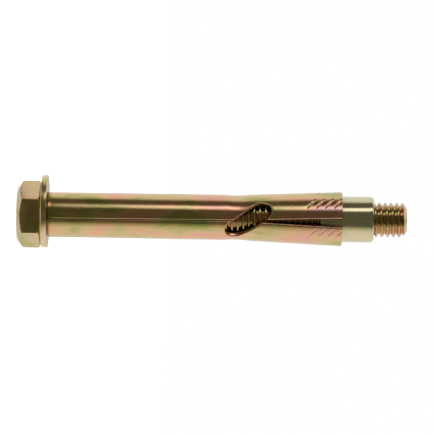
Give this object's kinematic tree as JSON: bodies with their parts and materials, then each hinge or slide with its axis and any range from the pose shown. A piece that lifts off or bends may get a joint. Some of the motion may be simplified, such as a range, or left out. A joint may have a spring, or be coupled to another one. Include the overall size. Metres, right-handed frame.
{
  "type": "sleeve anchor",
  "caption": "Masonry sleeve anchor: a hex-head bolt through a loose washer, a rolled split sleeve with flared fingers, and a cone nut that spreads them.",
  "frame": {"origin": "centre of the outer flat face of the bolt's head, on which the anchor stands", "axes": "+Z along the bolt from its head to its tip; -Y faces the slanted window and the sleeve's rolled joint"},
  "size_m": [0.0128, 0.0126, 0.0676],
  "materials": {
    "bolt_zinc": "yellow passivated zinc plate on cold headed steel",
    "washer_zinc": "yellow passivated zinc plate on stamped steel",
    "sleeve_zinc": "yellow passivated zinc plate on rolled sheet steel, with green and pink tints",
    "nut_zinc": "pale yellow-green passivated zinc plate on turned steel"
  },
  "bodies": {
    "bolt": {"hex_bolt": "bolt_zinc"},
    "washer": {"flat_washer": "washer_zinc"},
    "sleeve": {"expansion_sleeve": "sleeve_zinc"},
    "nut": {"cone_nut": "nut_zinc"}
  },
  "joints": [
    {"name": "washer_spin", "type": "hinge", "parent": "bolt", "child": "washer", "pos_m": [-0.00055, 0, 0.00468], "axis": [0, 0, 1], "continuous": true},
    {"name": "sleeve_turn", "type": "hinge", "parent": "bolt", "child": "sleeve", "pos_m": [0, 0, 0.0308], "axis": [0, 0, 1], "range_deg": [0, 1980]},
    {"name": "nut_travel", "type": "slide", "parent": "sleeve", "child": "nut", "axis": [0, 0, 1], "range_m": [0, 0.0055]}
  ],
  "couplings": [
    {"joint": "nut_travel", "follows": "sleeve_turn", "m_per_rad": 0.00015915}
  ]
}
